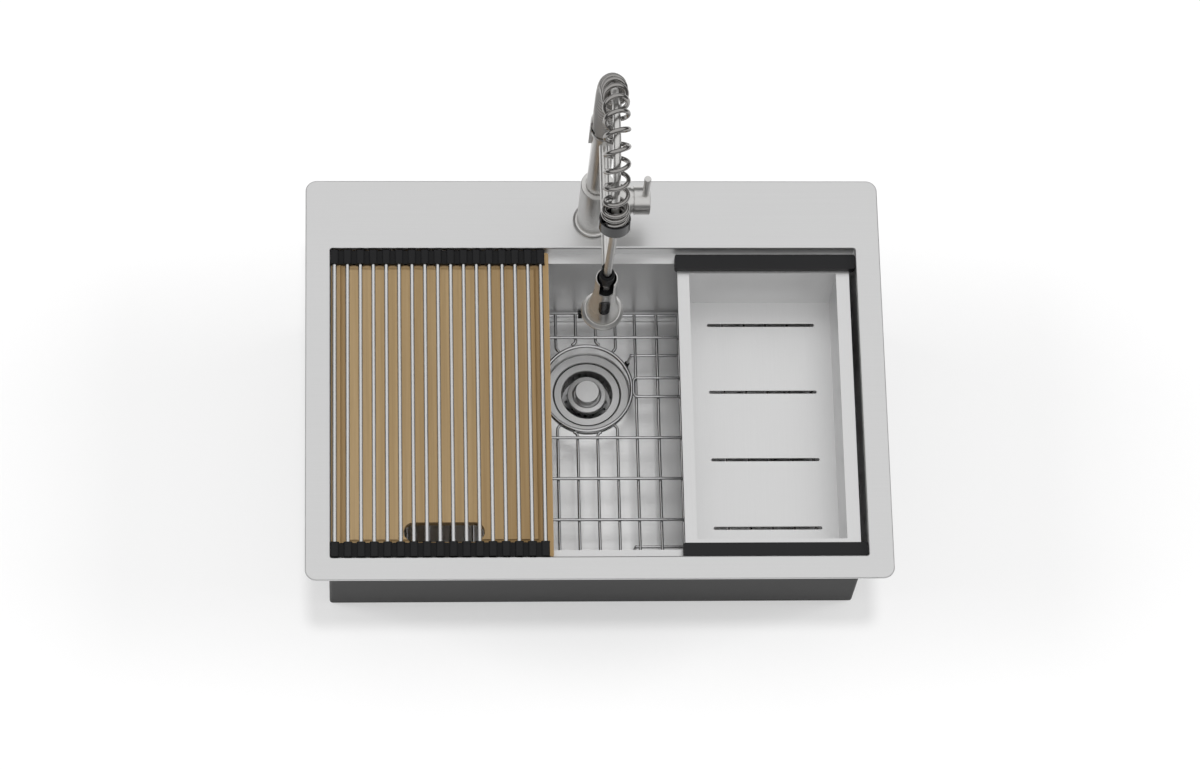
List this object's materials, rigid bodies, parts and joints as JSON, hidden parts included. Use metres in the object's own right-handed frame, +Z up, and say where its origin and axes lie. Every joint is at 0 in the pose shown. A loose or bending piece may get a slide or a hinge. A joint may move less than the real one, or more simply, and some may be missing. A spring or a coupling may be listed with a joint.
{
  "type": "kitchen sink",
  "caption": "Top-mount stainless kitchen sink with a spring-neck pull-down tap, cutting board, roll-up rack, sliding colander tray, bottom grid and basket strainer.",
  "frame": {"origin": "middle of the rim, on the counter plane that the rim gasket rests on", "axes": "+X to the right, +Y to the back (tap side), +Z up"},
  "size_m": [0.762, 0.5588, 0.9638],
  "materials": {
    "steel_satin": "satin brushed stainless steel",
    "steel_wire": "polished stainless wire",
    "tap_steel": "brushed stainless tap finish",
    "coating": "sprayed sound-deadening coat",
    "rubber_black": "black rubber",
    "plastic_black": "moulded black plastic",
    "plastic_gloss": "glossy black plastic",
    "bamboo": "oiled sapele or bamboo, fine grain",
    "fibre": "fibre washer",
    "brass_raw": "turned brass",
    "zinc": "zinc-plated steel"
  },
  "bodies": {
    "sink": {"sink_shell": "steel_satin", "sound_coating": "coating", "rim_gasket": "rubber_black", "fixing_rails": "steel_satin", "mounting_clips": "zinc", "clip_screws": "zinc", "drain_flange": "steel_satin", "drain_gasket": "rubber_black", "fibre_washer": "fibre", "drain_locknut": "brass_raw", "tailpiece_washer": "rubber_black", "tailpiece": "steel_satin", "slip_nut": "steel_satin", "base_flange": "tap_steel", "tap_body": "tap_steel", "deck_washer": "rubber_black", "mounting_nut": "brass_raw", "shank": "brass_raw", "water_inlets": "tap_steel", "cartridge": "plastic_black", "cartridge_nut": "brass_raw", "handle_dome": "tap_steel"},
    "basket": {"strainer_basket": "steel_satin", "basket_seal": "rubber_black"},
    "stopper": {"stopper_knob": "steel_satin", "stopper_seal": "rubber_black"},
    "grid": {"grid_frame": "steel_wire", "grid_wires": "steel_wire", "grid_cross_wires": "steel_wire", "grid_feet": "rubber_black", "grid_bumpers": "rubber_black"},
    "board": {"cutting_board": "bamboo"},
    "rack_1": {"rack_rods_1": "steel_wire", "rack_strip_back": "rubber_black", "rack_strip_front": "rubber_black"},
    "rack_2": {"rack_rods_2": "steel_wire"},
    "rack_3": {"rack_rods_3": "steel_wire"},
    "rack_4": {"rack_rods_4": "steel_wire"},
    "rack_5": {"rack_rods_5": "steel_wire"},
    "rack_6": {"rack_rods_6": "steel_wire"},
    "rack_7": {"rack_rods_7": "steel_wire"},
    "rack_8": {"rack_rods_8": "steel_wire"},
    "rack_9": {"rack_rods_9": "steel_wire"},
    "tray": {"colander_tray": "steel_satin", "tray_grips": "plastic_black"},
    "handle_hub": {"handle_hub": "brass_raw"},
    "handle": {"handle_cap": "tap_steel", "handle_stick": "tap_steel", "handle_screw": "zinc"},
    "neck": {"riser": "tap_steel", "arm_clamp": "tap_steel", "docking_arm": "tap_steel", "holder_cup": "plastic_black", "neck_spring": "tap_steel", "spray_hose": "tap_steel"},
    "head": {"hose_nut": "tap_steel", "head_shell": "tap_steel", "head_ring": "tap_steel", "nozzle_face": "rubber_black"},
    "button": {"spray_button": "plastic_gloss"}
  },
  "joints": [
    {"name": "basket_lift", "type": "slide", "parent": "sink", "child": "basket", "axis": [0, 0, 1], "range_m": [0, 0.09]},
    {"name": "stopper_lift", "type": "slide", "parent": "basket", "child": "stopper", "axis": [0, 0, 1], "range_m": [0, 0.008]},
    {"name": "grid_lift", "type": "slide", "parent": "sink", "child": "grid", "axis": [0, 0, 1], "range_m": [0, 0.07]},
    {"name": "board_lift", "type": "slide", "parent": "sink", "child": "board", "axis": [0, 0, 1], "range_m": [0, 0.02]},
    {"name": "rack_lift", "type": "slide", "parent": "board", "child": "rack_1", "axis": [0, 0, 1], "range_m": [0, 0.02]},
    {"name": "rack_fold_1", "type": "hinge", "parent": "rack_1", "child": "rack_2", "pos_m": [-0.3171, -0.034, 0.00085], "axis": [0, -1, 0], "range_deg": [0, 36], "deforming": ["rack_strip_back", "rack_strip_front"]},
    {"name": "rack_fold_2", "type": "hinge", "parent": "rack_2", "child": "rack_3", "pos_m": [-0.2831, -0.034, 0.00085], "axis": [0, -1, 0], "range_deg": [0, 36]},
    {"name": "rack_fold_3", "type": "hinge", "parent": "rack_3", "child": "rack_4", "pos_m": [-0.2491, -0.034, 0.00085], "axis": [0, -1, 0], "range_deg": [0, 36]},
    {"name": "rack_fold_4", "type": "hinge", "parent": "rack_4", "child": "rack_5", "pos_m": [-0.2151, -0.034, 0.00085], "axis": [0, -1, 0], "range_deg": [0, 36]},
    {"name": "rack_fold_5", "type": "hinge", "parent": "rack_5", "child": "rack_6", "pos_m": [-0.1811, -0.034, 0.00085], "axis": [0, -1, 0], "range_deg": [0, 36]},
    {"name": "rack_fold_6", "type": "hinge", "parent": "rack_6", "child": "rack_7", "pos_m": [-0.1471, -0.034, 0.00085], "axis": [0, -1, 0], "range_deg": [0, 36]},
    {"name": "rack_fold_7", "type": "hinge", "parent": "rack_7", "child": "rack_8", "pos_m": [-0.1131, -0.034, 0.00085], "axis": [0, -1, 0], "range_deg": [0, 36]},
    {"name": "rack_fold_8", "type": "hinge", "parent": "rack_8", "child": "rack_9", "pos_m": [-0.0791, -0.034, 0.00085], "axis": [0, -1, 0], "range_deg": [0, 36]},
    {"name": "tray_slide", "type": "slide", "parent": "sink", "child": "tray", "axis": [1, 0, 0], "range_m": [-0.165, 0]},
    {"name": "handle_turn", "type": "hinge", "parent": "sink", "child": "handle_hub", "pos_m": [0.046, 0.221, 0.074], "axis": [1, 0, 0], "range_deg": [-45, 45]},
    {"name": "handle_lift", "type": "hinge", "parent": "handle_hub", "child": "handle", "pos_m": [0.046, 0.221, 0.074], "axis": [0, 1, 0], "range_deg": [0, 10]},
    {"name": "spout_swivel", "type": "hinge", "parent": "sink", "child": "neck", "pos_m": [0, 0.221, 0.104], "axis": [0, 0, 1], "range_deg": [-90, 90]},
    {"name": "head_pull", "type": "slide", "parent": "neck", "child": "head", "axis": [0, 0, -1], "range_m": [0, 0.1], "deforming": ["spray_hose"]},
    {"name": "button_press", "type": "slide", "parent": "head", "child": "button", "axis": [0, 1, 0], "range_m": [0, 0.002], "stiffness_N_per_m": 600, "springref_m": -0.001}
  ],
  "couplings": [
    {"joint": "rack_fold_2", "follows": "rack_fold_1", "ratio": 1},
    {"joint": "rack_fold_3", "follows": "rack_fold_1", "ratio": 1},
    {"joint": "rack_fold_4", "follows": "rack_fold_1", "ratio": 1},
    {"joint": "rack_fold_5", "follows": "rack_fold_1", "ratio": 1},
    {"joint": "rack_fold_6", "follows": "rack_fold_1", "ratio": 1},
    {"joint": "rack_fold_7", "follows": "rack_fold_1", "ratio": 1},
    {"joint": "rack_fold_8", "follows": "rack_fold_1", "ratio": 1}
  ]
}
